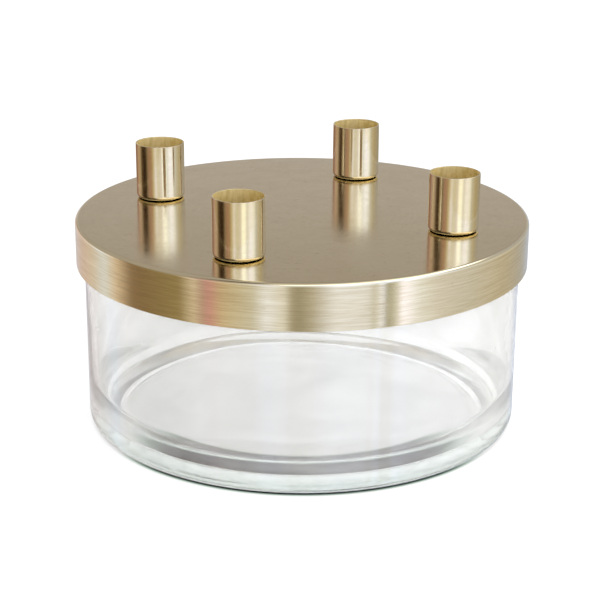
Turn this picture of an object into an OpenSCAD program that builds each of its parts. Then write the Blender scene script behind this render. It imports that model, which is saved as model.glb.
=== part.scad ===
// Flower frog: a round glass bowl for water under a spun brass pan lid.
// Four open brass cups stand on the lid. Each cup is held by a hollow rivet
// whose bore lets a stem down into the bowl, and a washer backs the lid's
// thin sheet under each rivet. A soft ring lies between the lid and the rim.
//
// Millimetres. +Z is up along the bowl's axis. The origin is the middle of
// the bowl's foot, on the surface that it stands on.

/* [Bowl] */
// Outer diameter of the glass wall
bowl_d = 202.6; // [198:0.2:203]
// Height of the glass, from foot to rim
bowl_h = 94.5; // [60:0.5:140]
// Thickness of the glass wall
wall_t = 3.4; // [2.8:0.1:5]
// Height of the inside floor above the foot
floor_t = 3; // [2.5:0.5:10]
// Radius inside the bowl, where the wall turns into the floor
inner_corner_r = 21; // [8:1:30]
// Radius of the outer corner at the foot
heel_r = 4.5; // [2:0.5:7]
// Radius on the two edges of the rim
rim_r = 1.2; // [0.5:0.1:1.3]
// Diameter of the hollow in the underside
hollow_d = 150; // [120:2:176]
// Depth of the hollow in the underside
hollow_h = 0.7; // [0.4:0.1:1.6]

/* [Lid] */
// Outer diameter of the pan lid
lid_d = 210; // [209.6:0.2:216]
// Outside depth of the skirt
skirt_h = 20.8; // [10:0.2:30]
// Thickness of the brass sheet
sheet_t = 1; // [0.6:0.1:1.2]
// Outside radius of the lid's top edge
edge_r = 1.6; // [1.4:0.1:3]
// Thickness of the soft ring on the rim
gasket_t = 1.5; // [1:0.1:3]
// Width of the soft ring, measured along the radius
gasket_w = 7; // [6:0.5:10]

/* [Cups] */
// Outer diameter of a cup
cup_d = 23; // [22:0.5:30]
// Height of a cup above the lid
cup_h = 26.6; // [15:0.2:60]
// Thickness of a cup's wall and floor
cup_t = 0.5; // [0.4:0.1:1]
// Radius of a cup's bottom edge, outside
cup_corner_r = 2.4; // [1.4:0.1:3]
// Diameter of the circle that the cups stand on
cup_circle_d = 146; // [100:1:160]
// Direction of the front left cup from the axis, from +X
first_cup_angle = -111.5; // [-180:0.5:180]

/* [Hollow rivets] */
// Bore of a rivet, which a stem goes through
stem_d = 10; // [6:0.5:11]
// Thickness of a rivet's tube
rivet_t = 0.5; // [0.4:0.1:0.8]
// Diameter of a rivet's flange, on the floor of its cup
flange_d = 15; // [14.6:0.2:16]
// Clearance between a rivet and the holes that it goes through
rivet_gap = 0.1; // [0.05:0.05:0.2]
// Diameter of a backing washer
washer_d = 19; // [17:1:24]
// Thickness of a backing washer
washer_t = 0.8; // [0.5:0.1:1.5]

/* [Hidden] */
$fn = 144;

bowl_r = bowl_d / 2;
bowl_in = bowl_r - wall_t;
lid_z = bowl_h + gasket_t + sheet_t;      // top face of the lid
lid_r = lid_d / 2;
lid_in = lid_r - sheet_t;
lid_in_corner = edge_r - sheet_t + 0.2;   // radius inside the lid's corner
gasket_out = lid_in - lid_in_corner - 0.2;
cup_r = cup_d / 2;
cup_in = cup_r - cup_t;
cup_in_corner = cup_corner_r - cup_t;
shank_r = stem_d / 2 + rivet_t;
hole_r = shank_r + rivet_gap;
washer_z = lid_z - sheet_t - washer_t;    // underside of the washers
roll_t = 2 * rivet_t - 0.2;               // thickness of the rolled tail
roll_r = shank_r + 1.7;

// A disc as a half profile, with its top edge rounded by r.
module rounded_top(radius, low, high, r) {
  translate([0, low]) square([radius, high - low - r]);
  translate([0, low]) square([radius - r, high - low]);
  translate([radius - r, high - r]) circle(r);
}

// A disc as a half profile, with its bottom edge rounded by r.
module rounded_bottom(radius, low, high, r) {
  translate([0, low + r]) square([radius, high - low - r]);
  translate([0, low]) square([radius - r, high - low]);
  translate([radius - r, low + r]) circle(r);
}

// Puts its children at cup number n of the four.
module at_cup(n) {
  rotate([0, 0, first_cup_angle + 90 * n])
    translate([cup_circle_d / 2, 0, 0]) children();
}

// Thick-cornered bowl: small radius outside at the foot, large one inside.
module glass_bowl() {
  color([0.80, 0.88, 0.86, 0.45])
    difference() {
      rotate_extrude() difference() {
        union() {
          rounded_bottom(bowl_r, 0, bowl_h - rim_r, heel_r);
          translate([0, bowl_h - rim_r - 0.5]) square([bowl_r - rim_r, rim_r + 0.5]);
          translate([bowl_r - rim_r, bowl_h - rim_r]) circle(rim_r);
        }
        rounded_bottom(bowl_in, floor_t, bowl_h - rim_r, inner_corner_r);
        difference() {
          translate([0, bowl_h - rim_r - 1]) square([bowl_in + rim_r, rim_r + 2]);
          translate([bowl_in, bowl_h - rim_r - 3]) square([rim_r + 1, 3]);
          translate([bowl_in + rim_r, bowl_h - rim_r]) circle(rim_r);
        }
      }
      translate([0, 0, -0.01])
        cylinder(h = hollow_h + 0.01, r1 = hollow_d / 2, r2 = hollow_d / 2 - 30);
    }
}

// Flat soft ring on the rim, under the lid's sheet.
module rim_gasket() {
  color([0.90, 0.90, 0.87])
    rotate_extrude()
      translate([gasket_out - gasket_w, bowl_h]) square([gasket_w, gasket_t]);
}

// One spun sheet: flat top, rounded edge and straight skirt, with four holes.
module lid_pan() {
  color([0.72, 0.63, 0.46])
    difference() {
      rotate_extrude() difference() {
        rounded_top(lid_r, lid_z - skirt_h, lid_z, edge_r);
        rounded_top(lid_in, lid_z - skirt_h - 1, lid_z - sheet_t, lid_in_corner);
      }
      for (n = [0:3]) at_cup(n)
        translate([0, 0, lid_z - sheet_t - 1]) cylinder(h = sheet_t + 2, r = hole_r);
    }
}

// Deep-drawn cup with a rounded bottom edge, an open mouth and a stem hole.
module cup(n) {
  color([0.78, 0.68, 0.45])
    at_cup(n) translate([0, 0, lid_z])
      rotate_extrude() difference() {
        rounded_bottom(cup_r, 0, cup_h, cup_corner_r);
        rounded_bottom(cup_in, cup_t, cup_h + 1, cup_in_corner);
        translate([0, -1]) square([hole_r, cup_t + 2]);
      }
}

// Hollow rivet: flange on the cup's floor, tube, and tail rolled over below.
module rivet(n) {
  color([0.80, 0.70, 0.46])
    at_cup(n) rotate_extrude() difference() {
      union() {
        translate([0, washer_z - 0.1])
          square([shank_r, lid_z + cup_t + rivet_t - washer_z]);
        translate([0, lid_z + cup_t]) square([flange_d / 2, rivet_t]);
        translate([0, washer_z - roll_t]) square([roll_r, roll_t]);
        translate([roll_r, washer_z - roll_t / 2]) circle(roll_t / 2);
      }
      translate([0, washer_z - roll_t - 1]) square([stem_d / 2, 20]);
    }
}

// Backing washer under the lid's sheet.
module washer(n) {
  color([0.74, 0.64, 0.42])
    at_cup(n) rotate_extrude()
      translate([hole_r, washer_z]) square([washer_d / 2 - hole_r, washer_t]);
}

module front_left_cup() cup(0);
module right_cup() cup(1);
module back_cup() cup(2);
module back_left_cup() cup(3);
module front_left_rivet() rivet(0);
module right_rivet() rivet(1);
module back_rivet() rivet(2);
module back_left_rivet() rivet(3);
module front_left_washer() washer(0);
module right_washer() washer(1);
module back_washer() washer(2);
module back_left_washer() washer(3);

glass_bowl();
rim_gasket();
lid_pan();
front_left_cup();
right_cup();
back_cup();
back_left_cup();
front_left_rivet();
right_rivet();
back_rivet();
back_left_rivet();
front_left_washer();
right_washer();
back_washer();
back_left_washer();
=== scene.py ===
# Looks of the flower frog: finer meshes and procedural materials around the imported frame.
import bpy
import math
from mathutils import Vector, Matrix
from mathutils.geometry import delaunay_2d_cdt


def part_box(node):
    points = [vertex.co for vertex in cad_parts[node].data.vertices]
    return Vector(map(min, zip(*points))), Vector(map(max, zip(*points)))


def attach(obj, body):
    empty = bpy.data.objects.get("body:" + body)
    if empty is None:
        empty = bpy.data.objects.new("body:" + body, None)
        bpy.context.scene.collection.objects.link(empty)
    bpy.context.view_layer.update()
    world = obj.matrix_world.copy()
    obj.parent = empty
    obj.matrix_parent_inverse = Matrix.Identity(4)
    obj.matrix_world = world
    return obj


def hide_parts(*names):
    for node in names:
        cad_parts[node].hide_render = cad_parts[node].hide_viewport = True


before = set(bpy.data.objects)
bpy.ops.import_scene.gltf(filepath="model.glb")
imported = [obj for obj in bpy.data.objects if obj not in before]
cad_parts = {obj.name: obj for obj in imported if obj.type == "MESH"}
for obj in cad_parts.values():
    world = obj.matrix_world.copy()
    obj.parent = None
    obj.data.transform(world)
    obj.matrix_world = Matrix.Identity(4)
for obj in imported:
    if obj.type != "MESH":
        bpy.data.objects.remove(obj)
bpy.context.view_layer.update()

MM = 0.001
scene = bpy.context.scene


# ------------------------------------------------------------------ sizes, in millimetres, read from the frame
def size(node):
    lo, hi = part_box(node)
    return [1000 * v for v in lo], [1000 * v for v in hi]


(_, _, foot_z), (bowl_r, _, bowl_h) = size("glass_bowl")
(_, _, skirt_z), (lid_r, _, lid_z) = size("lid_pan")
(_, _, gasket_lo), (gasket_out, _, gasket_hi) = size("rim_gasket")
bowl_r, lid_r, gasket_out = 101.3, 105.0, 103.0
PLACES = ["front_left", "right", "back", "back_left"]
CUPS = {}
for p in PLACES:
    lo, hi = size(p + "_cup")
    CUPS[p] = ((lo[0] + hi[0]) / 2, (lo[1] + hi[1]) / 2)
cup_top = size("right_cup")[1][2]


# ------------------------------------------------------------------ mesh tools
def arc(cr, cz, radius, a0, a1, n):
    """Points of an arc in the (r, z) plane; angles in degrees from +r."""
    return [(cr + radius * math.cos(math.radians(a0 + (a1 - a0) * i / n)),
             cz + radius * math.sin(math.radians(a0 + (a1 - a0) * i / n))) for i in range(n + 1)]


def run(a, b, n, ease=0.0):
    """n - 1 points between a and b, with a support point close to each end when ease is given."""
    out = []
    length = math.hypot(b[0] - a[0], b[1] - a[1])
    cuts = [i / n for i in range(1, n)]
    if ease:
        e = ease / length
        cuts = [e] + [e + (1 - 2 * e) * c for c in cuts] + [1 - e]
    for t in cuts:
        out.append((a[0] + (b[0] - a[0]) * t, a[1] + (b[1] - a[1]) * t))
    return out


def build(name, verts, faces, mats, face_mats, at=(0.0, 0.0)):
    me = bpy.data.meshes.new(name)
    me.from_pydata(verts, [], faces)
    for m in mats:
        me.materials.append(m)
    me.polygons.foreach_set("use_smooth", [True] * len(me.polygons))
    me.polygons.foreach_set("material_index", face_mats)
    me.update()
    ob = bpy.data.objects.new(name, me)
    ob.location = (at[0] * MM, at[1] * MM, 0.0)
    scene.collection.objects.link(ob)
    return ob


def lathe(name, prof, segs, at=(0.0, 0.0), mats=(), mat_of=None, wobble=None, closed=True):
    """Turns a profile of (r, z) points round its own axis. It runs down the outside and up the inside, so faces look out."""
    verts, rings, faces, fm = [], [], [], []
    for r, z in prof:
        if r < 1e-6:
            rings.append([len(verts)])
            verts.append((0.0, 0.0, z * MM))
            continue
        ring = []
        for s in range(segs):
            t = 2 * math.pi * s / segs
            rr, zz = (r, z) if wobble is None else wobble(r, z, t)
            ring.append(len(verts))
            verts.append((rr * math.cos(t) * MM, rr * math.sin(t) * MM, zz * MM))
        rings.append(ring)
    pairs = [(i, i + 1) for i in range(len(prof) - 1)] + ([(len(prof) - 1, 0)] if closed else [])
    for a, b in pairs:
        ra, rb = rings[a], rings[b]
        if len(ra) == 1 and len(rb) == 1:
            continue
        mi = mat_of((prof[a][0] + prof[b][0]) / 2, (prof[a][1] + prof[b][1]) / 2) if mat_of else 0
        for s in range(segs):
            s2 = (s + 1) % segs
            if len(ra) == 1:
                faces.append((ra[0], rb[s], rb[s2]))
            elif len(rb) == 1:
                faces.append((ra[s2], ra[s], rb[0]))
            else:
                faces.append((ra[s2], ra[s], rb[s], rb[s2]))
            fm.append(mi)
    return build(name, verts, faces, mats, fm, at)


def piece(ob, body, node):
    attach(ob, body)
    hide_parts(node)
    return ob


# ------------------------------------------------------------------ material tools
class Net:
    def __init__(self, name):
        self.mat = bpy.data.materials.new(name)
        self.mat.use_nodes = True
        self.nt = self.mat.node_tree
        self.nt.nodes.clear()
        self.out = self.nt.nodes.new("ShaderNodeOutputMaterial")
        self.bsdf = self.nt.nodes.new("ShaderNodeBsdfPrincipled")
        self.nt.links.new(self.bsdf.outputs[0], self.out.inputs["Surface"])

    def node(self, kind, **values):
        n = self.nt.nodes.new(kind)
        for k, v in values.items():
            setattr(n, k, v)
        return n

    def link(self, a, b):
        self.nt.links.new(a, b)

    def put(self, socket, value):
        if hasattr(value, "links") or hasattr(value, "is_linked"):
            self.link(value, socket)
        else:
            socket.default_value = value

    def coords(self, scale):
        tc = self.node("ShaderNodeTexCoord")
        mp = self.node("ShaderNodeMapping")
        mp.inputs["Scale"].default_value = scale
        self.link(tc.outputs["Object"], mp.inputs["Vector"])
        return mp.outputs[0]

    def noise(self, vec, scale=1.0, detail=2.0, rough=0.5, distort=0.0):
        n = self.node("ShaderNodeTexNoise")
        self.link(vec, n.inputs["Vector"])
        n.inputs["Scale"].default_value = scale
        n.inputs["Detail"].default_value = detail
        n.inputs["Roughness"].default_value = rough
        n.inputs["Distortion"].default_value = distort
        return n.outputs["Fac"]

    def remap(self, value, a, b, c, d, smooth=False):
        n = self.node("ShaderNodeMapRange")
        if smooth:
            n.interpolation_type = "SMOOTHSTEP"
        self.put(n.inputs["Value"], value)
        for k, v in zip(("From Min", "From Max", "To Min", "To Max"), (a, b, c, d)):
            n.inputs[k].default_value = v
        return n.outputs[0]

    def math(self, op, a, b=0.0):
        n = self.node("ShaderNodeMath", operation=op)
        self.put(n.inputs[0], a)
        self.put(n.inputs[1], b)
        return n.outputs[0]

    def mix(self, fac, a, b, blend="MIX"):
        n = self.node("ShaderNodeMix", data_type="RGBA", blend_type=blend)
        self.put(n.inputs[0], fac)
        self.put(n.inputs[6], a)
        self.put(n.inputs[7], b)
        return n.outputs[2]

    def bump(self, height, distance, strength=1.0, normal=None):
        n = self.node("ShaderNodeBump")
        n.inputs["Strength"].default_value = strength
        n.inputs["Distance"].default_value = distance
        self.link(height, n.inputs["Height"])
        if normal is not None:
            self.link(normal, n.inputs["Normal"])
        return n.outputs[0]

    def z(self):
        tc = self.node("ShaderNodeTexCoord")
        sp = self.node("ShaderNodeSeparateXYZ")
        self.link(tc.outputs["Object"], sp.inputs[0])
        return sp.outputs


def rgb(r, g, b):
    return (r, g, b, 1.0)


BRASS = (0.80, 0.70, 0.49)
BRASS_WARM = (0.78, 0.64, 0.40)
BRASS_DEEP = (0.74, 0.57, 0.27)
HAZE = 0.01          # share of the ground underside that scatters light
FILM = 0.18          # share of the polished glass that does


def brass_ring(name, base, tint, rough, aniso, line_mm, run_mm, lines, bump_mm, spot=0.3, gap_shade_z=None):
    """Brass brushed round its own axis: long fine lines, uneven polish, and a few tarnish spots."""
    m = Net(name)
    fine = m.noise(m.coords((1000 / run_mm, 1000 / run_mm, 1000 / line_mm)), 1.0, 3.0, 0.6)
    broad = m.noise(m.coords((420 / run_mm, 420 / run_mm, 420 / line_mm)), 1.0, 2.0, 0.5)
    cloud = m.noise(m.coords((38, 38, 38)), 1.0, 3.0, 0.55)
    spots = m.noise(m.coords((420, 420, 420)), 1.0, 2.0, 0.6)
    lines_all = m.math("ADD", m.math("MULTIPLY", fine, 0.62), m.math("MULTIPLY", broad, 0.38))
    tone = m.mix(m.remap(cloud, 0.35, 0.68, 0.0, 1.0, True), rgb(*base), rgb(*tint))
    tone = m.mix(m.remap(lines_all, 0.36, 0.64, lines, 0.0), tone,
                 rgb(base[0] * 0.72, base[1] * 0.66, base[2] * 0.55))
    tone = m.mix(m.remap(spots, 0.66, 0.80, 0.0, spot, True), tone,
                 rgb(base[0] * 0.62, base[1] * 0.50, base[2] * 0.38))
    if gap_shade_z is not None:                                  # painted shade where the cup's rounded foot meets the lid in a narrow gap: darker brown up to about 2 mm, almost black in the last half millimetre
        tone = m.mix(m.remap(m.z()[2], (gap_shade_z + 0.7) * MM, (gap_shade_z + 2.3) * MM, 1.0, 0.0, True), tone, rgb(0.34, 0.25, 0.12))
        tone = m.mix(m.remap(m.z()[2], (gap_shade_z + 0.25) * MM, (gap_shade_z + 0.55) * MM, 1.0, 0.0, True), tone, rgb(0.035, 0.022, 0.010))
    m.link(tone, m.bsdf.inputs["Base Color"])
    m.bsdf.inputs["Metallic"].default_value = 1.0
    r = m.math("ADD", m.remap(lines_all, 0.35, 0.65, rough + 0.05, rough - 0.05),
               m.remap(cloud, 0.3, 0.7, -0.025, 0.035))
    m.link(r, m.bsdf.inputs["Roughness"])
    if aniso:
        m.bsdf.inputs["Anisotropic"].default_value = aniso
        m.bsdf.inputs["Anisotropic Rotation"].default_value = 0.25
        tg = m.node("ShaderNodeTangent", direction_type="RADIAL", axis="Z")
        m.link(tg.outputs[0], m.bsdf.inputs["Tangent"])
    m.link(m.bump(lines_all, bump_mm * MM), m.bsdf.inputs["Normal"])
    return m.mat


def brass_sheet(name, base, tint, rough, bump_mm):
    """The lid's flat face: an even satin, faint rings from the spinning chuck, mottling, and hair scratches."""
    m = Net(name)
    sep = m.z()
    rad = m.math("SQRT", m.math("ADD", m.math("MULTIPLY", sep[0], sep[0]), m.math("MULTIPLY", sep[1], sep[1])))
    comb = m.node("ShaderNodeCombineXYZ")
    m.link(m.math("MULTIPLY", rad, 900.0), comb.inputs[0])
    m.link(m.math("MULTIPLY", sep[0], 9.0), comb.inputs[1])
    m.link(m.math("MULTIPLY", sep[1], 9.0), comb.inputs[2])
    rings = m.noise(comb.outputs[0], 1.0, 3.0, 0.6)
    grain = m.noise(m.coords((900, 900, 900)), 1.0, 2.0, 0.6)
    mottle = m.noise(m.coords((95, 95, 95)), 1.0, 3.0, 0.6)
    cloud = m.noise(m.coords((17, 17, 17)), 1.0, 2.0, 0.5)
    hair_a = m.noise(m.coords((60, 2600, 60)), 1.0, 2.0, 0.5, 0.3)
    hair_b = m.noise(m.coords((2300, 90, 90)), 1.0, 2.0, 0.5, 0.3)
    hairs = m.math("ADD", m.remap(hair_a, 0.70, 0.80, 0.0, 1.0), m.remap(hair_b, 0.72, 0.82, 0.0, 1.0))
    tone = m.mix(m.remap(cloud, 0.35, 0.68, 0.0, 1.0, True), rgb(*base), rgb(*tint))
    tone = m.mix(m.remap(mottle, 0.40, 0.66, 0.0, 0.15, True), tone,
                 rgb(base[0] * 0.80, base[1] * 0.76, base[2] * 0.70))
    tone = m.mix(m.remap(rings, 0.40, 0.62, 0.10, 0.0), tone,
                 rgb(base[0] * 0.78, base[1] * 0.72, base[2] * 0.62))
    speck = m.noise(m.coords((520, 520, 520)), 1.0, 2.0, 0.5)
    tone = m.mix(m.remap(speck, 0.60, 0.74, 0.0, 0.22, True), tone, rgb(0.86, 0.76, 0.62))
    tone = m.mix(m.remap(speck, 0.40, 0.28, 0.0, 0.25, True), tone, rgb(base[0] * 0.62, base[1] * 0.56, base[2] * 0.46))
    pos = m.node("ShaderNodeTexCoord").outputs["Object"]
    for cx, cy in CUPS.values():                          # painted shade: a thin near-black ring on the lid round each cup, where the narrow gap under its rounded foot lies in shadow
        gap = m.node("ShaderNodeVectorMath", operation="DISTANCE")
        m.link(pos, gap.inputs[0])
        gap.inputs[1].default_value = (cx * MM, cy * MM, lid_z * MM)
        tone = m.mix(m.remap(gap.outputs["Value"], 10.1 * MM, 10.6 * MM, 1.0, 0.0, True), tone, rgb(0.035, 0.022, 0.010))
    m.link(tone, m.bsdf.inputs["Base Color"])
    m.bsdf.inputs["Metallic"].default_value = 1.0
    r = m.math("ADD", m.remap(grain, 0.3, 0.7, rough - 0.02, rough + 0.03),
               m.math("ADD", m.remap(mottle, 0.3, 0.7, -0.02, 0.03), m.math("MULTIPLY", hairs, 0.06)))
    m.link(r, m.bsdf.inputs["Roughness"])
    n1 = m.bump(grain, bump_mm * MM, 0.6)
    n2 = m.bump(rings, bump_mm * 1.2 * MM, 0.5, n1)
    n3 = m.bump(cloud, 0.10 * MM, 0.5, n2)
    m.link(n3, m.bsdf.inputs["Normal"])
    return m.mat


def brass_raw(name, base, tint, rough, bump_mm, metal=1.0):
    """Brass left as it came from the press: duller, warmer, a little pitted."""
    m = Net(name)
    fine = m.noise(m.coords((1500, 1500, 500)), 1.0, 3.0, 0.65)
    blotch = m.noise(m.coords((330, 330, 170)), 1.0, 3.0, 0.6)
    draw = m.noise(m.coords((2200, 2200, 60)), 1.0, 2.0, 0.5)
    tone = m.mix(m.remap(blotch, 0.36, 0.66, 0.0, 1.0, True), rgb(*base), rgb(*tint))
    tone = m.mix(m.remap(draw, 0.40, 0.64, 0.16, 0.0), tone, rgb(tint[0] * 0.7, tint[1] * 0.62, tint[2] * 0.5))
    m.link(tone, m.bsdf.inputs["Base Color"])
    m.bsdf.inputs["Metallic"].default_value = metal
    m.link(m.remap(blotch, 0.3, 0.7, rough - 0.05, rough + 0.08), m.bsdf.inputs["Roughness"])
    n1 = m.bump(fine, bump_mm * MM, 0.8)
    m.link(m.bump(blotch, bump_mm * 2.5 * MM, 0.7, n1), m.bsdf.inputs["Normal"])
    return m.mat


def glass_material(name):
    """Clear soda-lime glass: slight waves left by the mould, a faint film of smears, a ground underside, green only where it is thick."""
    m = Net(name)
    sep = m.z()
    rad = m.math("SQRT", m.math("ADD", m.math("MULTIPLY", sep[0], sep[0]), m.math("MULTIPLY", sep[1], sep[1])))
    under = m.math("MULTIPLY", m.remap(sep[2], 1.5 * MM, 2.4 * MM, 1.0, 0.0, True), m.remap(rad, 68 * MM, 81 * MM, 1.0, 0.08, True))
    wave = m.noise(m.coords((24, 24, 46)), 1.0, 1.0, 0.4)
    smear = m.noise(m.coords((30, 30, 70)), 1.0, 3.0, 0.6, 0.4)
    stipple = m.noise(m.coords((520, 520, 520)), 1.0, 3.0, 0.6)
    clear = m.mix(m.remap(smear, 0.4, 0.7, 0.0, 1.0), rgb(1.0, 1.0, 1.0), rgb(0.988, 0.993, 0.990))
    ground = m.mix(m.remap(stipple, 0.35, 0.65, 0.0, 1.0), rgb(0.98, 0.99, 0.985), rgb(0.92, 0.945, 0.935))
    m.link(m.mix(under, clear, ground), m.bsdf.inputs["Base Color"])
    m.bsdf.inputs["Metallic"].default_value = 0.0
    m.bsdf.inputs["IOR"].default_value = 1.5
    film = m.math("MULTIPLY", m.remap(smear, 0.35, 0.75, FILM * 0.7, FILM * 1.5), m.remap(sep[2], 4.6 * MM, 9.0 * MM, 0.0, 1.0, True))
    cloudy = m.math("ADD", film, m.math("MULTIPLY", under, HAZE))
    m.link(m.math("SUBTRACT", 1.0, cloudy), m.bsdf.inputs["Transmission Weight"])
    m.link(m.math("ADD", m.remap(smear, 0.52, 0.75, 0.0, 0.035, True),
                  m.math("MULTIPLY", under, m.remap(stipple, 0.3, 0.7, 0.0, 0.05))), m.bsdf.inputs["Roughness"])
    m.link(m.bump(wave, 0.22 * MM, 0.35), m.bsdf.inputs["Normal"])
    vol = m.node("ShaderNodeVolumeAbsorption")
    vol.inputs["Color"].default_value = (0.80, 0.93, 0.88, 1.0)
    vol.inputs["Density"].default_value = 3.0
    m.link(vol.outputs[0], m.out.inputs["Volume"])
    return m.mat


def silicone_material(name):
    m = Net(name)
    cloud = m.noise(m.coords((120, 120, 120)), 1.0, 3.0, 0.6)
    grain = m.noise(m.coords((1800, 1800, 1800)), 1.0, 2.0, 0.6)
    m.link(m.mix(m.remap(cloud, 0.35, 0.65, 0.0, 1.0), rgb(0.80, 0.81, 0.78), rgb(0.70, 0.71, 0.66)),
           m.bsdf.inputs["Base Color"])
    m.link(m.remap(grain, 0.3, 0.7, 0.42, 0.55), m.bsdf.inputs["Roughness"])
    m.bsdf.inputs["Transmission Weight"].default_value = 0.35
    m.bsdf.inputs["IOR"].default_value = 1.41
    m.link(m.bump(grain, 0.02 * MM, 0.6), m.bsdf.inputs["Normal"])
    return m.mat


glass = glass_material("clear_glass")
skirt_brass = brass_ring("skirt_brushed_brass", BRASS, (0.79, 0.68, 0.45), 0.16, 1.0, 0.38, 12.0, 0.70, 0.014)
edge_brass = brass_ring("edge_brass", (0.86, 0.78, 0.58), (0.84, 0.74, 0.52), 0.14, 0.0, 0.6, 18.0, 0.10, 0.003, 0.1)
top_brass = brass_sheet("lid_top_brass", BRASS, (0.77, 0.67, 0.46), 0.145, 0.004)
under_brass = brass_raw("lid_under_brass", (0.76, 0.66, 0.46), (0.72, 0.60, 0.38), 0.36, 0.010)
cup_brass = brass_ring("cup_satin_brass", (0.84, 0.76, 0.58), (0.83, 0.74, 0.54), 0.135, 0.60, 0.35, 3.0, 0.20, 0.003, 0.15, gap_shade_z=lid_z)
cup_inside = brass_raw("cup_inside_brass", (0.86, 0.74, 0.41), (0.71, 0.58, 0.25), 0.40, 0.030, metal=0.66)
rivet_brass = brass_raw("rivet_brass", (0.82, 0.68, 0.38), (0.76, 0.60, 0.30), 0.26, 0.006)
washer_brass = brass_raw("washer_brass", (0.76, 0.62, 0.36), (0.68, 0.53, 0.28), 0.34, 0.008)
silicone = silicone_material("clear_silicone")


# ------------------------------------------------------------------ bowl
def bowl_profile():
    """From the rim down the outside, under the foot with its shallow hollow, then up the inside."""
    R, H, wall, base, corner, heel, rim = bowl_r, bowl_h, 3.4, 3.0, 21.0, 4.5, 1.2
    inner = R - wall
    p = []
    p += arc(R - rim, H - rim, rim, 90, 0, 10)
    p += run((R, H - rim), (R, heel), 26, 0.6)
    p += arc(R - heel, heel, heel, 0, -90, 14)
    p += run((R - heel, 0.0), (78.0, 0.0), 6, 0.3)
    for i in range(17):
        k = i / 16
        p.append((78.0 - 33.0 * k, 0.7 * k * k * (3 - 2 * k)))
    p += run((45.0, 0.7), (2.0, 0.7), 10) + [(2.0, 0.7), (0.0, 0.7)]
    p += [(0.0, base), (2.0, base)] + run((2.0, base), (inner - corner, base), 18, 0.8)
    p += arc(inner - corner, base + corner, corner, -90, 0, 44)
    p += run((inner, base + corner), (inner, H - rim), 20, 0.8)
    p += arc(inner + rim, H - rim, rim, 180, 90, 10)
    return p


def bowl_wobble(r, z, t):
    """Slight unevenness of hand-worked glass, kept within a tenth of a millimetre outside."""
    if r > 99.6:
        return r - 0.05 + 0.05 * math.sin(3 * t + 0.7), z
    if z > 8.0 and r > 60.0 and z < 93.0:
        k = min(1.0, (z - 8.0) / 20.0) * min(1.0, (93.0 - z) / 6.0)
        return r + k * (0.20 * math.sin(2 * t + 1.1) + 0.11 * math.sin(5 * t + z * 0.05)), z
    if 2.9 < z < 3.3 and r < 76.9:
        k = min(1.0, r / 30.0)
        return r, z + k * (0.18 * math.sin(t + 0.4) + 0.10 * math.sin(3 * t + r * 0.06))
    return r, z


bowl = lathe("glass_bowl_blown", bowl_profile(), 288, mats=[glass], wobble=bowl_wobble)
piece(bowl, "bowl", "glass_bowl")


# ------------------------------------------------------------------ soft ring
def ring_profile(r_in, r_out, lo, hi, edge, n=6):
    return (arc(r_out - edge, hi - edge, edge, 90, 0, n) + run((r_out, hi - edge), (r_out, lo + edge), 2, edge * 0.4)
            + arc(r_out - edge, lo + edge, edge, 0, -90, n) + run((r_out - edge, lo), (r_in + edge, lo), 4, edge * 0.4)
            + arc(r_in + edge, lo + edge, edge, -90, -180, n) + run((r_in, lo + edge), (r_in, hi - edge), 2, edge * 0.4)
            + arc(r_in + edge, hi - edge, edge, 180, 90, n) + run((r_in + edge, hi), (r_out - edge, hi), 4, edge * 0.4))


gasket = lathe("rim_gasket_soft", ring_profile(gasket_out - 7.0, gasket_out, gasket_lo, gasket_hi, 0.28), 240, mats=[silicone])
piece(gasket, "gasket", "rim_gasket")


# ------------------------------------------------------------------ lid: flat sheet with four holes, edge and skirt
HOLE = 5.6
N_OUT, N_HOLE = 360, 72
PLATE_R = 100.0


def plate():
    """Triangles of the flat sheet inside PLATE_R, with its four holes; outer points first, then each hole's."""
    pts, edges = [], []
    for s in range(N_OUT):
        t = 2 * math.pi * s / N_OUT
        pts.append(Vector((PLATE_R * math.cos(t), PLATE_R * math.sin(t))))
        edges.append((s, (s + 1) % N_OUT))
    for p in PLACES:
        first = len(pts)
        for s in range(N_HOLE):
            t = 2 * math.pi * s / N_HOLE
            pts.append(Vector((CUPS[p][0] + HOLE * math.cos(t), CUPS[p][1] + HOLE * math.sin(t))))
            edges.append((first + s, first + (s + 1) % N_HOLE))
    fixed = len(pts)
    step = 6.0
    n = int(PLATE_R / step) + 2
    for i in range(-n, n + 1):
        for j in range(-n, n + 1):
            x, y = (i + 0.5 * (j % 2)) * step, j * step * 0.866
            if math.hypot(x, y) < PLATE_R - 2.5 and all(math.hypot(x - c[0], y - c[1]) > HOLE + 2.0 for c in CUPS.values()):
                pts.append(Vector((x, y)))
    v, _, f, _, _, _ = delaunay_2d_cdt(pts, edges, [], 0, 1e-6)
    tris = []
    for tri in f:
        c = (v[tri[0]] + v[tri[1]] + v[tri[2]]) / 3
        if c.length < PLATE_R and all(math.hypot(c.x - q[0], c.y - q[1]) > HOLE for q in CUPS.values()):
            a, b, d = (v[k] for k in tri)
            up = (b - a).x * (d - a).y - (b - a).y * (d - a).x > 0
            tris.append(tuple(tri) if up else tuple(reversed(tri)))
    return v, tris, fixed


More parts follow.
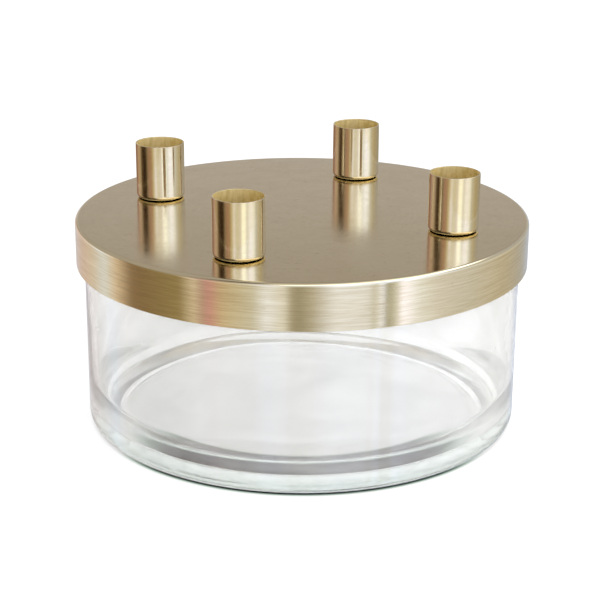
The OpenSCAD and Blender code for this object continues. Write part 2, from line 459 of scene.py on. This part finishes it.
def make_lid():
    v, tris, _ = plate()
    z1, z0 = lid_z, lid_z - 1.0
    verts = [(p.x * MM, p.y * MM, z1 * MM) for p in v] + [(p.x * MM, p.y * MM, z0 * MM) for p in v]
    n = len(v)
    faces = [t for t in tris] + [tuple(n + k for k in reversed(t)) for t in tris]
    fm = [0] * len(tris) + [2] * len(tris)
    for h in range(4):                                    # hole walls
        first = N_OUT + h * N_HOLE
        for s in range(N_HOLE):
            a, b = first + s, first + (s + 1) % N_HOLE
            faces.append((a, b, n + b, n + a))
            fm.append(2)
    e, ri = 1.6, lid_r - 1.0
    prof = run((PLATE_R, z1), (lid_r - e, z1), 4, 0.25)
    prof += arc(lid_r - e, z1 - e, e, 90, 0, 14)
    top_end = len(prof)
    prof += run((lid_r, z1 - e), (lid_r, skirt_z + 0.18), 10, 0.25)
    prof += arc(lid_r - 0.18, skirt_z + 0.18, 0.18, 0, -90, 5)
    prof += arc(ri + 0.18, skirt_z + 0.18, 0.18, -90, -180, 5)
    prof += run((ri, skirt_z + 0.18), (ri, z0 - 0.8), 6, 0.25)
    prof += arc(ri - 0.8, z0 - 0.8, 0.8, 0, 90, 8)
    prof += run((ri - 0.8, z0), (PLATE_R, z0), 4, 0.25)
    rings = [list(range(N_OUT))]
    for k, (r, z) in enumerate(prof):
        ring = []
        for s in range(N_OUT):
            t = 2 * math.pi * s / N_OUT
            ring.append(len(verts))
            verts.append((r * math.cos(t) * MM, r * math.sin(t) * MM, z * MM))
        rings.append(ring)
    rings.append([n + s for s in range(N_OUT)])
    for k in range(len(rings) - 1):
        ra, rb = rings[k], rings[k + 1]
        r, z = prof[min(k, len(prof) - 1)]
        if z > z1 - 0.02 and r < lid_r - e + 0.3:
            mi = 0
        elif z > z1 - e - 0.05 and r > ri - 2 and k < top_end:
            mi = 1
        elif r > lid_r - 0.1:
            mi = 3
        else:
            mi = 2
        for s in range(N_OUT):
            s2 = (s + 1) % N_OUT
            faces.append((ra[s2], ra[s], rb[s], rb[s2]))
            fm.append(mi)
    ob = build("lid_pan_spun", verts, faces, [top_brass, edge_brass, under_brass, skirt_brass], fm)
    me = ob.data
    hole_edges = set()
    for h in range(4):
        first = N_OUT + h * N_HOLE
        for s in range(N_HOLE):
            a, b = first + s, first + (s + 1) % N_HOLE
            hole_edges.add((min(a, b), max(a, b)))
            hole_edges.add((min(n + a, n + b), max(n + a, n + b)))
    for ed in me.edges:
        if tuple(sorted(ed.vertices)) in hole_edges:
            ed.use_edge_sharp = True
    return ob


lid = piece(make_lid(), "lid", "lid_pan")


# ------------------------------------------------------------------ cups
def cup_profile():
    z0, R, ri, c, lip = lid_z, 11.5, 11.0, 2.4, 0.12
    ci = c - 0.5
    p = arc(R - lip, cup_top - lip, lip, 90, 0, 5)
    p += run((R, cup_top - lip), (R, z0 + c), 14, 0.15)
    p += arc(R - c, z0 + c, c, 0, -90, 14)
    p += run((R - c, z0), (HOLE + 0.06, z0), 3, 0.1)
    p += arc(HOLE + 0.06, z0 + 0.06, 0.06, -90, -180, 2)
    p += arc(HOLE + 0.06, z0 + 0.44, 0.06, 180, 90, 2)
    p += run((HOLE + 0.06, z0 + 0.5), (R - c, z0 + 0.5), 3, 0.1)
    p += arc(R - c, z0 + c, ci, -90, 0, 12)
    p += run((ri, z0 + c), (ri, cup_top - lip), 14, 0.15)
    p += arc(ri + lip, cup_top - lip, lip, 180, 90, 5)
    return p


for i, place in enumerate(PLACES):
    def oval(r, z, t, i=i):
        """A hand-finished mouth is a few hundredths of a millimetre out of round."""
        k = max(0.0, (z - lid_z - 4.0) / (cup_top - lid_z - 4.0)) ** 2
        return r - 0.05 * k + 0.05 * k * math.cos(2 * (t + 0.9 * i)), z - (0.06 * k * (0.5 + 0.5 * math.sin(t * 3 + i)) if z > cup_top - 1 else 0)
    ob = lathe(place + "_cup_drawn", cup_profile(), 160, CUPS[place], [cup_brass, cup_inside],
               lambda r, z: 1 if (r < 11.06 and z > lid_z + 0.2 and not (r > 9 and z < lid_z + 0.5)) else 0, oval)
    piece(ob, "lid", place + "_cup")


# ------------------------------------------------------------------ hollow rivets and washers
def rivet_profile():
    top, floor, under = lid_z + 1.0, lid_z + 0.5, lid_z - 1.8
    p = [(7.0, top - 0.02)] + arc(7.25, top - 0.25, 0.25, 80, 0, 5) + [(7.5, floor + 0.02), (7.46, floor)]
    p += run((7.46, floor), (5.5, floor), 3, 0.1) + [(5.5, floor - 0.05)]
    p += run((5.5, floor - 0.05), (5.5, under + 0.05), 5) + [(5.5, under)]
    p += run((5.5, under), (7.2, under), 3, 0.1)
    p += arc(7.2, under - 0.4, 0.4, 80, -60, 9)
    p += run((7.4, under - 0.746), (6.2, under - 0.80), 3)
    p += [(6.2, under - 0.80), (5.8, under - 0.77), (5.4, under - 0.66), (5.15, under - 0.5), (5.02, under - 0.25), (5.0, under)]
    p += run((5.0, under), (5.0, floor - 0.2), 5)
    p += [(5.0, floor - 0.2), (5.02, floor + 0.1), (5.12, floor + 0.32), (5.32, floor + 0.46), (5.6, floor + 0.5)]
    p += run((5.6, floor + 0.5), (7.0, top - 0.02), 3)
    return p


def washer_profile():
    lo, hi, a, b, e = lid_z - 1.8, lid_z - 1.0, 5.6, 9.5, 0.12
    return ring_profile(a, b, lo, hi, e, 4)


for place in PLACES:
    ob = lathe(place + "_rivet_set", rivet_profile(), 112, CUPS[place], [rivet_brass])
    piece(ob, "lid", place + "_rivet")
    ob = lathe(place + "_washer_stamped", washer_profile(), 112, CUPS[place], [washer_brass])
    piece(ob, "lid", place + "_washer")


# ------------------------------------------------------------------ stage: pale floor and a soft studio round the object
def make_floor():
    n = 48
    verts, faces = [(0.0, 0.0, 0.0)], []
    radii = [0.15, 0.4, 1.0, 2.5, 6.0]
    for r in radii:
        for s in range(n):
            t = 2 * math.pi * s / n
            verts.append((r * math.cos(t), r * math.sin(t), 0.0))
    for s in range(n):
        faces.append((0, 1 + s, 1 + (s + 1) % n))
    for k in range(len(radii) - 1):
        a, b = 1 + k * n, 1 + (k + 1) * n
        for s in range(n):
            s2 = (s + 1) % n
            faces.append((a + s, b + s, b + s2, a + s2))
    me = bpy.data.meshes.new("studio_floor")
    me.from_pydata(verts, [], faces)
    me.update()
    ob = bpy.data.objects.new("studio_floor", me)
    ob.location = (0, 0, -0.0002)
    scene.collection.objects.link(ob)
    paper = bpy.data.materials.new("studio_floor_paper")
    paper.use_nodes = True
    nt = paper.node_tree
    nt.nodes.clear()
    out = nt.nodes.new("ShaderNodeOutputMaterial")
    dif = nt.nodes.new("ShaderNodeBsdfDiffuse")
    emi = nt.nodes.new("ShaderNodeEmission")
    # painted shade on the floor: a green-tinted dark ring under the front of the bowl's foot and a dimmer disc under
    # the whole bowl, standing in for the soft contact shade that the lid and the bowl throw forward
    tc = nt.nodes.new("ShaderNodeTexCoord")
    sep = nt.nodes.new("ShaderNodeSeparateXYZ")
    nt.links.new(tc.outputs["Object"], sep.inputs[0])

    def m(op, a, b=0.0):
        n = nt.nodes.new("ShaderNodeMath")
        n.operation = op
        for k, v in ((0, a), (1, b)):
            if isinstance(v, (int, float)):
                n.inputs[k].default_value = v
            else:
                nt.links.new(v, n.inputs[k])
        return n.outputs[0]

    def step(v, a, b, c, d):
        n = nt.nodes.new("ShaderNodeMapRange")
        n.interpolation_type = "SMOOTHSTEP"
        nt.links.new(v, n.inputs[0])
        for k, x in enumerate((a, b, c, d)):
            n.inputs[k + 1].default_value = x
        return n.outputs[0]

    rad = m("SQRT", m("ADD", m("MULTIPLY", sep.outputs[0], sep.outputs[0]), m("MULTIPLY", sep.outputs[1], sep.outputs[1])))
    side = m("ABSOLUTE", m("ARCTAN2", sep.outputs[0], m("MULTIPLY", sep.outputs[1], -1.0)))
    ring = m("MULTIPLY", step(rad, 0.074, 0.079, 0.0, 1.0), step(rad, 0.098, 0.101, 1.0, 0.0))
    shade = m("MULTIPLY", ring, step(side, math.radians(38), math.radians(60), 1.0, 0.0))
    inside = step(rad, 0.0985, 0.1015, 1.0, 0.0)
    dim = nt.nodes.new("ShaderNodeMix")
    dim.data_type = "RGBA"
    nt.links.new(inside, dim.inputs[0])
    dim.inputs[6].default_value = (0.16, 0.16, 0.16, 1)
    dim.inputs[7].default_value = (0.20, 0.20, 0.197, 1)
    tone = nt.nodes.new("ShaderNodeMix")
    tone.data_type = "RGBA"
    nt.links.new(shade, tone.inputs[0])
    nt.links.new(dim.outputs[2], tone.inputs[6])
    tone.inputs[7].default_value = (0.02, 0.03, 0.026, 1)
    nt.links.new(tone.outputs[2], dif.inputs[0])
    # painted shade: the floor's own glow is lowered under the bowl and lowered further in the front ring, where it is
    # also tinted green
    nt.links.new(m("ADD", m("ADD", m("MULTIPLY", shade, -0.60), m("MULTIPLY", inside, -0.30)), 0.88), emi.inputs[1])
    tint = nt.nodes.new("ShaderNodeMix")
    tint.data_type = "RGBA"
    nt.links.new(shade, tint.inputs[0])
    tint.inputs[6].default_value = (1.0, 1.0, 1.0, 1)
    tint.inputs[7].default_value = (0.54, 1.0, 0.70, 1)
    nt.links.new(tint.outputs[2], emi.inputs[0])
    add = nt.nodes.new("ShaderNodeAddShader")
    clear = nt.nodes.new("ShaderNodeBsdfTransparent")
    geo = nt.nodes.new("ShaderNodeNewGeometry")
    mix = nt.nodes.new("ShaderNodeMixShader")
    nt.links.new(dif.outputs[0], add.inputs[0])
    nt.links.new(emi.outputs[0], add.inputs[1])
    nt.links.new(geo.outputs["Backfacing"], mix.inputs[0])
    nt.links.new(add.outputs[0], mix.inputs[1])
    nt.links.new(clear.outputs[0], mix.inputs[2])
    nt.links.new(mix.outputs[0], out.inputs["Surface"])
    me.materials.append(paper)
    ob.visible_glossy = False
    return ob


make_floor()


def make_reflector():
    """A brass-coloured card level with the lid and outside it, seen only in mirrors, so the cups' stripes run their full height."""
    n, radii = 96, [lid_r - 0.1, 150.0, 200.0, 260.0]
    verts, faces = [], []
    for r in radii:
        for s in range(n):
            t = 2 * math.pi * s / n
            verts.append((r * math.cos(t) * MM, r * math.sin(t) * MM, 0.0))
    for k in range(len(radii) - 1):
        for s in range(n):
            s2 = (s + 1) % n
            faces.append((k * n + s, (k + 1) * n + s, (k + 1) * n + s2, k * n + s2))
    me = bpy.data.meshes.new("studio_reflector")
    me.from_pydata(verts, [], faces)
    me.update()
    ob = bpy.data.objects.new("studio_reflector", me)
    ob.location = (0, 0, (lid_z - 0.03) * MM)
    scene.collection.objects.link(ob)
    card = bpy.data.materials.new("studio_reflector_card")
    card.use_nodes = True
    nt = card.node_tree
    nt.nodes.clear()
    out = nt.nodes.new("ShaderNodeOutputMaterial")
    glossy = nt.nodes.new("ShaderNodeBsdfAnisotropic")
    glossy.inputs["Color"].default_value = (0.78, 0.68, 0.47, 1)
    glossy.inputs["Roughness"].default_value = 0.145
    clear = nt.nodes.new("ShaderNodeBsdfTransparent")
    geo = nt.nodes.new("ShaderNodeNewGeometry")
    mix = nt.nodes.new("ShaderNodeMixShader")
    nt.links.new(geo.outputs["Backfacing"], mix.inputs[0])
    nt.links.new(glossy.outputs[0], mix.inputs[1])
    nt.links.new(clear.outputs[0], mix.inputs[2])
    nt.links.new(mix.outputs[0], out.inputs["Surface"])
    me.materials.append(card)
    ob.visible_camera = False
    ob.visible_diffuse = False
    ob.visible_transmission = False
    ob.visible_shadow = False
    ob.visible_volume_scatter = False


make_reflector()

# Light from the studio by direction: azimuth in degrees from the front, + to the right, and its colour.
CARDS = [
    (-180, (0.66, 0.68, 0.76)), (-142, (0.77, 0.63, 0.58)), (-128, (0.84, 0.77, 0.72)), (-116, (0.89, 1.01, 1.22)),
    (-105, (0.88, 0.74, 0.61)), (-93, (0.28, 0.19, 0.11)), (-62, (0.38, 0.31, 0.16)), (-54, (0.87, 0.79, 0.70)),
    (-50, (0.58, 0.44, 0.41)), (-46, (0.78, 0.40, 0.47)), (-40, (0.75, 0.65, 0.48)), (-24, (0.77, 0.79, 0.76)),
    (-17, (1.10, 1.22, 1.58)), (-8, (0.94, 0.98, 1.06)), (-5, (0.47, 0.45, 0.38)), (-1, (0.41, 0.40, 0.33)),
    (5, (0.59, 0.58, 0.53)), (17, (1.06, 1.16, 1.48)), (34, (1.01, 1.10, 1.37)), (35.5, (0.61, 0.61, 0.54)),
    (38.5, (1.12, 1.22, 1.45)), (40, (1.38, 1.54, 2.32)), (42, (0.38, 0.38, 0.26)), (48, (0.81, 0.85, 0.84)),
    (50, (1.51, 1.61, 2.25)), (60, (1.04, 1.13, 1.31)), (72, (0.87, 0.89, 0.97)), (90, (0.77, 0.79, 0.82)),
    (119, (0.66, 0.62, 0.53)), (145, (0.52, 0.52, 0.51)), (160, (0.54, 0.60, 0.72)), (180, (0.66, 0.68, 0.76)),
]
# The same above the level of the lid, which is what the cups and the edge mirror.
UP_CARDS = [
    (-180, (0.41, 0.38, 0.34)), (-166, (0.41, 0.38, 0.34)), (-155, (0.40, 0.19, 0.12)), (-146, (0.38, 0.22, 0.15)),
    (-137, (0.36, 0.26, 0.30)), (-123, (0.68, 0.51, 0.48)), (-106, (0.61, 0.53, 0.47)), (-92, (0.13, 0.09, 0.06)),
    (-80, (0.04, 0.02, 0.01)), (-68, (0.04, 0.02, 0.01)), (-57, (0.36, 0.29, 0.23)), (-47, (0.52, 0.33, 0.30)),
    (-37, (0.52, 0.39, 0.29)), (-28, (0.80, 0.78, 0.63)), (-18, (1.18, 1.24, 1.70)), (-9, (0.94, 1.02, 1.13)),
    (0, (0.98, 1.04, 1.16)), (9, (1.03, 1.08, 1.43)), (18, (1.66, 1.92, 2.38)), (28, (1.61, 1.85, 2.38)),
    (37, (1.05, 1.19, 1.60)), (47, (1.36, 1.55, 2.26)), (57, (1.39, 1.57, 2.38)), (68, (1.30, 1.50, 2.00)),
    (80, (0.78, 0.86, 1.05)), (92, (0.72, 0.73, 0.71)), (106, (0.60, 0.57, 0.47)), (123, (0.56, 0.57, 0.60)),
    (137, (0.48, 0.49, 0.56)), (152, (0.51, 0.53, 0.57)), (166, (0.41, 0.38, 0.34)), (180, (0.41, 0.38, 0.34)),
]
# Overhead, brightness only: dark on the left, a window's glow on the right.
SKY = [(-180, 0.30), (-140, 0.14), (-60, 0.10), (-28, 0.16), (0, 0.75), (40, 1.30), (90, 1.30), (130, 0.80), (165, 0.34), (180, 0.30)]
# Light on matt things, stronger from the right.
FILL = [(-180, 0.75), (-120, 0.42), (-60, 0.42), (-10, 0.90), (40, 1.40), (100, 1.40), (145, 1.05), (180, 0.75)]
RAMP_GAIN = 2.4
FILL_GAIN = 2.3


def make_world():
    w = bpy.data.worlds.new("studio")
    scene.world = w
    w.use_nodes = True
    nt = w.node_tree
    nt.nodes.clear()
    out = nt.nodes.new("ShaderNodeOutputWorld")
    bg = nt.nodes.new("ShaderNodeBackground")
    tc = nt.nodes.new("ShaderNodeTexCoord")
    sep = nt.nodes.new("ShaderNodeSeparateXYZ")
    nt.links.new(tc.outputs["Generated"], sep.inputs[0])

    def m(op, a, b=0.0):
        n = nt.nodes.new("ShaderNodeMath")
        n.operation = op
        for k, v in ((0, a), (1, b)):
            if isinstance(v, (int, float)):
                n.inputs[k].default_value = v
            else:
                nt.links.new(v, n.inputs[k])
        return n.outputs[0]

    def ramp(fac, stops, gain=RAMP_GAIN, mode="LINEAR"):
        n = nt.nodes.new("ShaderNodeValToRGB")
        cr = n.color_ramp
        cr.interpolation = mode
        while len(cr.elements) > 1:
            cr.elements.remove(cr.elements[-1])
        cr.elements[0].position = stops[0][0]
        cr.elements[0].color = tuple(c / gain for c in stops[0][1]) + (1,)
        for pos, col in stops[1:]:
            e = cr.elements.new(pos)
            e.color = tuple(c / gain for c in col) + (1,)
        nt.links.new(fac, n.inputs[0])
        return n.outputs[0]

    def smooth(v, a, b):
        n = nt.nodes.new("ShaderNodeMapRange")
        n.interpolation_type = "SMOOTHSTEP"
        nt.links.new(v, n.inputs[0])
        n.inputs[1].default_value, n.inputs[2].default_value = a, b
        n.inputs[3].default_value, n.inputs[4].default_value = 0.0, 1.0
        return n.outputs[0]

    def mix(fac, a, b):
        n = nt.nodes.new("ShaderNodeMix")
        n.data_type = "RGBA"
        nt.links.new(fac, n.inputs[0])
        nt.links.new(a, n.inputs[6])
        nt.links.new(b, n.inputs[7])
        return n.outputs[2]

    azimuth = m("ARCTAN2", sep.outputs[0], m("MULTIPLY", sep.outputs[1], -1.0))
    around = m("ADD", m("DIVIDE", azimuth, 2 * math.pi), 0.5)
    height = m("ADD", m("MULTIPLY", sep.outputs[2], 0.5), 0.5)
    cards = ramp(around, [((a / 360) + 0.5, c) for a, c in CARDS])

    def up(deg):
        return math.sin(math.radians(deg)) * 0.5 + 0.5

    back = ramp(height, [(0.0, (0.60, 0.60, 0.62)), (up(5), (0.60, 0.58, 0.58)), (up(11), (0.56, 0.53, 0.53)),
                         (up(14), (0.53, 0.50, 0.49)), (up(18.5), (0.41, 0.375, 0.335)), (up(26), (0.37, 0.34, 0.30)),
                         (up(40), (0.42, 0.40, 0.37)), (1.0, (0.9, 0.9, 0.9))])
    zenith = ramp(height, [(0.0, (0.5, 0.47, 0.43)), (up(65), (0.55, 0.52, 0.48)), (1.0, (0.60, 0.58, 0.55))])
    sides = ramp(around, [((a / 360) + 0.5, (v, v * 0.96, v * 0.90)) for a, v in SKY])
    upper = ramp(around, [((a / 360) + 0.5, c) for a, c in UP_CARDS])
    above = smooth(sep.outputs[2], math.sin(math.radians(2)), math.sin(math.radians(8)))
    aside = smooth(m("ABSOLUTE", azimuth), math.radians(150), math.radians(166))
    # What the lid's flat top mirrors by itself is steadier round the room than what the cups mirror in it.
    lp = nt.nodes.new("ShaderNodeLightPath")
    once = m("LESS_THAN", lp.outputs["Glossy Depth"], 1.5)
    left = m("MULTIPLY", m("MULTIPLY", smooth(azimuth, math.radians(-48), math.radians(-66)), once),
             smooth(azimuth, math.radians(-174), math.radians(-158)))
    calm = m("MULTIPLY", m("MAXIMUM", left, m("MULTIPLY", once, 0.30)),
             smooth(sep.outputs[2], math.sin(math.radians(6)), math.sin(math.radians(12))))
    room = nt.nodes.new("ShaderNodeRGB")
    room.outputs[0].default_value = (0.43 / RAMP_GAIN, 0.395 / RAMP_GAIN, 0.355 / RAMP_GAIN, 1)
    upper = mix(calm, upper, room.outputs[0])
    colour = mix(above, cards, mix(aside, upper, back))
    # overhead: a dim ceiling with one bright window in front and to the right
    pane = m("MULTIPLY", smooth(azimuth, math.radians(-24), math.radians(-8)), smooth(azimuth, math.radians(150), math.radians(120)))
    pane = m("MULTIPLY", pane, m("MULTIPLY", smooth(sep.outputs[2], math.sin(math.radians(36)), math.sin(math.radians(41))),
                                 smooth(sep.outputs[2], math.sin(math.radians(57)), math.sin(math.radians(50)))))
    sides = mix(left, sides, room.outputs[0])
    sky = mix(smooth(sep.outputs[2], math.sin(math.radians(64)), math.sin(math.radians(84))), sides, zenith)
    colour = mix(smooth(sep.outputs[2], math.sin(math.radians(30)), math.sin(math.radians(42))), colour, sky)
    glow = nt.nodes.new("ShaderNodeRGB")
    glow.outputs[0].default_value = (1.0, 1.0, 1.0, 1.0)
    colour = mix(pane, colour, glow.outputs[0])
    # What the floor and other matt things are lit by, and what is seen through the glass, is plain white.
    low = ramp(around, [((a / 360) + 0.5, (v, v, v)) for a, v in FILL])
    high = ramp(around, [((a / 360) + 0.5, (v * 0.7, v * 0.7, v * 0.7)) for a, v in FILL])
    fill = mix(smooth(sep.outputs[2], math.sin(math.radians(14)), math.sin(math.radians(26))), low, high)
    white = nt.nodes.new("ShaderNodeRGB")
    white.outputs[0].default_value = (1.0 / RAMP_GAIN, 1.0 / RAMP_GAIN, 1.0 / RAMP_GAIN, 1)
    behind = nt.nodes.new("ShaderNodeRGB")                # the backdrop as seen through the glass
    behind.outputs[0].default_value = (0.97 / RAMP_GAIN, 0.97 / RAMP_GAIN, 0.965 / RAMP_GAIN, 1)
    backdrop = mix(m("GREATER_THAN", lp.outputs["Transmission Depth"], 0.5), white.outputs[0], behind.outputs[0])
    plain = mix(m("GREATER_THAN", lp.outputs["Diffuse Depth"], 0.5), backdrop, fill)
    plain_gain = nt.nodes.new("ShaderNodeMixRGB")
    plain_gain.blend_type = "MULTIPLY"
    plain_gain.inputs[0].default_value = 1.0
    nt.links.new(plain, plain_gain.inputs[1])
    boost = m("ADD", m("MULTIPLY", m("GREATER_THAN", lp.outputs["Diffuse Depth"], 0.5), FILL_GAIN - 1.0), 1.0)
    comb = nt.nodes.new("ShaderNodeCombineXYZ")
    for k in range(3):
        nt.links.new(boost, comb.inputs[k])
    nt.links.new(comb.outputs[0], plain_gain.inputs[2])
    seen = m("MULTIPLY", m("MULTIPLY", lp.outputs["Is Glossy Ray"], m("LESS_THAN", lp.outputs["Diffuse Depth"], 0.5)),
             m("LESS_THAN", lp.outputs["Transmission Depth"], 0.5))
    colour = mix(seen, plain_gain.outputs[0], colour)
    nt.links.new(colour, bg.inputs[0])
    bg.inputs[1].default_value = RAMP_GAIN
    nt.links.new(bg.outputs[0], out.inputs["Surface"])
    w.cycles.sampling_method = "NONE"


make_world()


# ------------------------------------------------------------------ camera
def make_camera():
    cam = bpy.data.cameras.new("photo_camera")
    ob = bpy.data.objects.new("photo_camera", cam)
    scene.collection.objects.link(ob)
    cam.sensor_width = 36.0
    cam.lens = 98.4
    cam.clip_start, cam.clip_end = 0.02, 50.0
    pitch, yaw, roll = 0.333, -0.001, 0.006
    fwd = Vector((math.sin(yaw) * math.cos(pitch), math.cos(yaw) * math.cos(pitch), -math.sin(pitch)))
    right = Vector((math.cos(yaw), -math.sin(yaw), 0.0))
    up = right.cross(fwd)
    r2 = right * math.cos(roll) + up * math.sin(roll)
    u2 = up * math.cos(roll) - right * math.sin(roll)
    rot = Matrix((r2, u2, -fwd)).transposed()
    ob.matrix_world = Matrix.Translation((0.0, -0.735, 0.308)) @ rot.to_4x4()
    scene.camera = ob


make_camera()
scene.cycles.max_bounces = 72
scene.cycles.glossy_bounces = 64
scene.cycles.transmission_bounces = 64
scene.view_settings.view_transform = "Standard"
